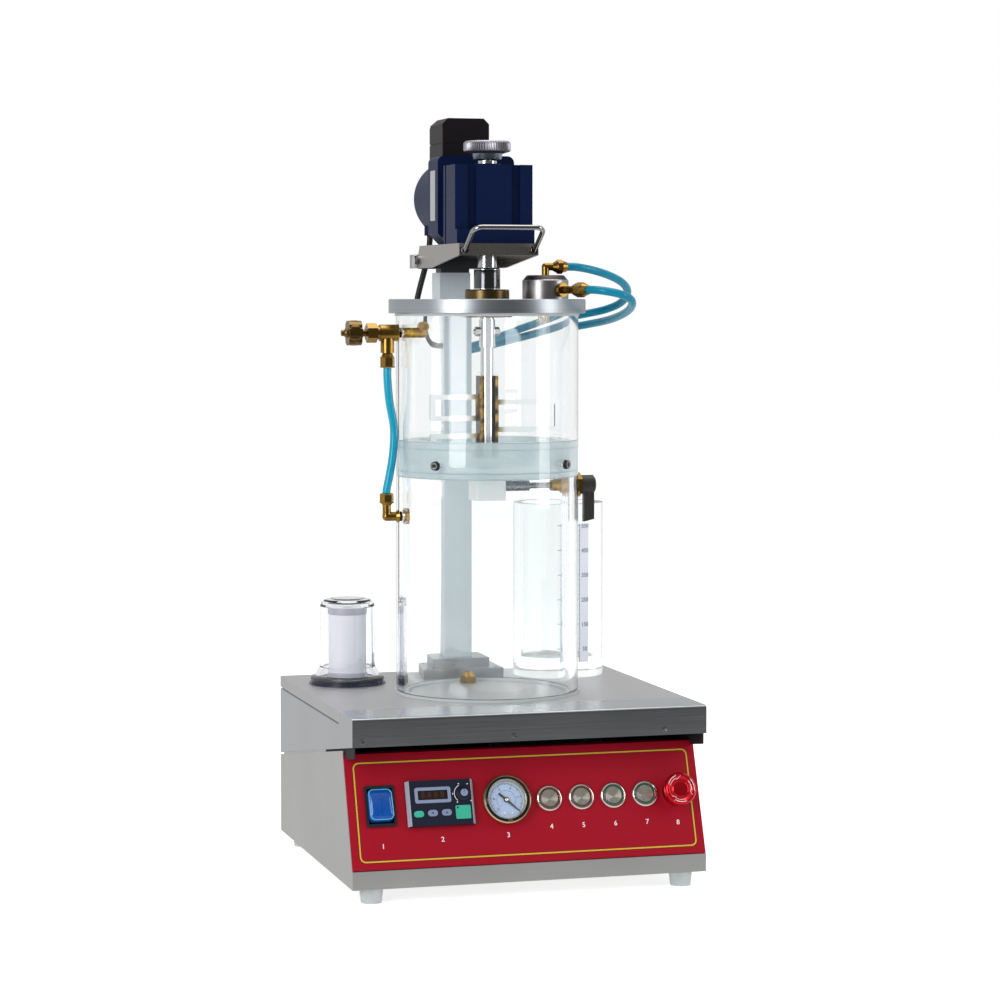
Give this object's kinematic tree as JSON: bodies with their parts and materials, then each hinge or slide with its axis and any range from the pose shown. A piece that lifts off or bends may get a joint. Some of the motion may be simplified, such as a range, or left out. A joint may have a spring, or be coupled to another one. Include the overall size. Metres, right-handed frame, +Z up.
{
  "type": "vacuum investment mixer",
  "caption": "Bench-top vacuum mixer for casting slurry: steel cabinet with sloped controls, clear vessel with bowl and pour valve, tilting motor head, filter and measuring cylinder.",
  "frame": {"origin": "centre of the footprint's bounding box, on the bench plane under the feet", "axes": "+X to the right as the user faces the panel, +Y to the back, +Z up along the longest extent"},
  "size_m": [0.347, 0.3526, 0.744],
  "materials": {
    "stainless": "brushed",
    "panel_red": "satin",
    "cover_steel": "polished",
    "deck_steel": "matte",
    "foot_rubber": "translucent",
    "steel": "polished",
    "black_plastic": "matte",
    "blue_boot": "translucent",
    "navy_plastic": "satin",
    "key_green": "gloss",
    "key_grey": "gloss",
    "gauge_metal": "satin",
    "pointer_black": "matte",
    "estop_red": "gloss",
    "clear_plastic": "clear",
    "filter_white": "matte",
    "seal_silicone": "matte",
    "acrylic": "clear",
    "bowl_plastic": "frosted",
    "brass": "turned",
    "white_plastic": "matte",
    "dark_steel": "turned",
    "lever_black": "satin",
    "hose_blue": "gloss",
    "cable_black": "matte",
    "aluminium": "turned",
    "column_alu": "anodised",
    "bracket_black": "matte",
    "navy_paint": "gloss",
    "pump_grey": "satin",
    "box_grey": "satin"
  },
  "bodies": {
    "machine": {"cabinet_base": "stainless", "front_panel": "panel_red", "top_cover": "cover_steel", "deck_plate": "deck_steel", "feet": "foot_rubber", "screws": "steel", "power_inlet": "black_plastic", "vacuum_pump": "pump_grey", "valve_bank": "black_plastic", "control_box": "box_grey", "rocker_bezel": "black_plastic", "governor_case": "navy_plastic", "gauge_case": "gauge_metal", "switch_bodies": "steel", "filter_base": "black_plastic", "filter_cartridge": "filter_white", "seal_rings": "seal_silicone", "vessel_tube": "acrylic", "bowl_floor": "bowl_plastic", "pipe_fittings": "brass", "pour_block": "white_plastic", "needle_valve": "brass", "left_hose": "hose_blue", "lid_plate": "aluminium", "shaft_seal": "brass", "manifold": "aluminium", "upper_hose": "hose_blue", "lower_hose": "hose_blue", "column": "column_alu", "column_foot": "aluminium", "hinge_bracket": "bracket_black", "hinge_pin": "steel", "motor_cable": "cable_black"},
    "head": {"head_tray": "stainless", "wire_handle": "steel", "gear_case": "navy_paint", "gear_motor": "navy_paint", "terminal_box": "black_plastic"},
    "drive": {"drive_sleeve": "steel"},
    "lift_knob": {"drive_rod": "dark_steel"},
    "paddle": {"paddle_shaft": "steel", "paddle_frames": "steel"},
    "pour_valve": {"valve_stem": "dark_steel", "valve_lever": "lever_black"},
    "needle": {"handwheel": "brass"},
    "rocker": {"rocker_boot": "blue_boot"},
    "speed_knob": {"governor_knob": "key_grey"},
    "key_1": {"governor_key_1": "key_green"},
    "key_2": {"governor_key_2": "key_grey"},
    "key_3": {"governor_key_3": "key_grey"},
    "key_4": {"governor_key_4": "key_green"},
    "pointer": {"gauge_pointer": "pointer_black"},
    "button_1": {"button_cap_1": "steel"},
    "button_2": {"button_cap_2": "steel"},
    "button_3": {"button_cap_3": "steel"},
    "button_4": {"button_cap_4": "steel"},
    "stop_plunger": {"estop_plunger": "black_plastic"},
    "stop_head": {"estop_head": "estop_red"},
    "filter_cover": {"filter_bowl": "clear_plastic"},
    "cylinder": {"measuring_cylinder": "acrylic"}
  },
  "joints": [
    {"name": "head_tilt", "type": "hinge", "parent": "machine", "child": "head", "pos_m": [0, 0.10784, 0.6003], "axis": [-1, 0, 0], "range_deg": [0, 72], "deforming": ["motor_cable"]},
    {"name": "drive_spin", "type": "hinge", "parent": "head", "child": "drive", "pos_m": [0, -0.01566, 0.64], "axis": [0, 0, 1], "continuous": true},
    {"name": "drive_lift", "type": "slide", "parent": "drive", "child": "lift_knob", "axis": [0, 0, 1], "range_m": [0, 0.01]},
    {"name": "paddle_spin", "type": "hinge", "parent": "machine", "child": "paddle", "pos_m": [0, -0.01566, 0.555], "axis": [0, 0, 1], "continuous": true},
    {"name": "pour_valve_turn", "type": "hinge", "parent": "machine", "child": "pour_valve", "pos_m": [0, -0.01566, 0.3775], "axis": [-1, 0, 0], "range_deg": [0, 90]},
    {"name": "needle_valve_turn", "type": "hinge", "parent": "machine", "child": "needle", "pos_m": [-0.134, -0.01566, 0.529], "axis": [-1, 0, 0], "range_deg": [0, 1080]},
    {"name": "rocker_tilt", "type": "hinge", "parent": "machine", "child": "rocker", "pos_m": [-0.14227, -0.14697, 0.08621], "axis": [1, 0, 0], "range_deg": [0, 12]},
    {"name": "speed_turn", "type": "hinge", "parent": "machine", "child": "speed_knob", "pos_m": [-0.06267, -0.15556, 0.09752], "axis": [0, -0.9372, 0.3489], "range_deg": [-150, 150]},
    {"name": "key_press_1", "type": "slide", "parent": "machine", "child": "key_1", "axis": [0, 0.9372, -0.3489], "range_m": [0, 0.0008], "stiffness_N_per_m": 600, "springref_m": -0.0008},
    {"name": "key_press_2", "type": "slide", "parent": "machine", "child": "key_2", "axis": [0, 0.9372, -0.3489], "range_m": [0, 0.0008], "stiffness_N_per_m": 600, "springref_m": -0.0008},
    {"name": "key_press_3", "type": "slide", "parent": "machine", "child": "key_3", "axis": [0, 0.9372, -0.3489], "range_m": [0, 0.0008], "stiffness_N_per_m": 600, "springref_m": -0.0008},
    {"name": "key_press_4", "type": "slide", "parent": "machine", "child": "key_4", "axis": [0, 0.9372, -0.3489], "range_m": [0, 0.0008], "stiffness_N_per_m": 600, "springref_m": -0.0008},
    {"name": "gauge_read", "type": "hinge", "parent": "machine", "child": "pointer", "pos_m": [-0.02047, -0.1554, 0.08935], "axis": [0, -0.9372, 0.3489], "range_deg": [0, 270], "stiffness_Nm_per_rad": 0.0002},
    {"name": "button_press_1", "type": "slide", "parent": "machine", "child": "button_1", "axis": [0, 0.9372, -0.3489], "range_m": [0, 0.002], "stiffness_N_per_m": 500, "springref_m": -0.002},
    {"name": "button_press_2", "type": "slide", "parent": "machine", "child": "button_2", "axis": [0, 0.9372, -0.3489], "range_m": [0, 0.002], "stiffness_N_per_m": 500, "springref_m": -0.002},
    {"name": "button_press_3", "type": "slide", "parent": "machine", "child": "button_3", "axis": [0, 0.9372, -0.3489], "range_m": [0, 0.002], "stiffness_N_per_m": 500, "springref_m": -0.002},
    {"name": "button_press_4", "type": "slide", "parent": "machine", "child": "button_4", "axis": [0, 0.9372, -0.3489], "range_m": [0, 0.002], "stiffness_N_per_m": 500, "springref_m": -0.002},
    {"name": "stop_push", "type": "slide", "parent": "machine", "child": "stop_plunger", "axis": [0, 0.9372, -0.3489], "range_m": [0, 0.0045]},
    {"name": "stop_twist", "type": "hinge", "parent": "stop_plunger", "child": "stop_head", "pos_m": [0.14886, -0.16196, 0.09179], "axis": [0, 0.9372, -0.3489], "range_deg": [0, 45], "stiffness_Nm_per_rad": 0.05},
    {"name": "filter_lift", "type": "slide", "parent": "machine", "child": "filter_cover", "axis": [0, 0, 1], "range_m": [0, 0.07]},
    {"name": "cylinder_lift", "type": "slide", "parent": "machine", "child": "cylinder", "axis": [0, 0, 1], "range_m": [0, 0.1]}
  ],
  "couplings": [
    {"joint": "paddle_spin", "follows": "drive_spin", "ratio": 1}
  ]
}
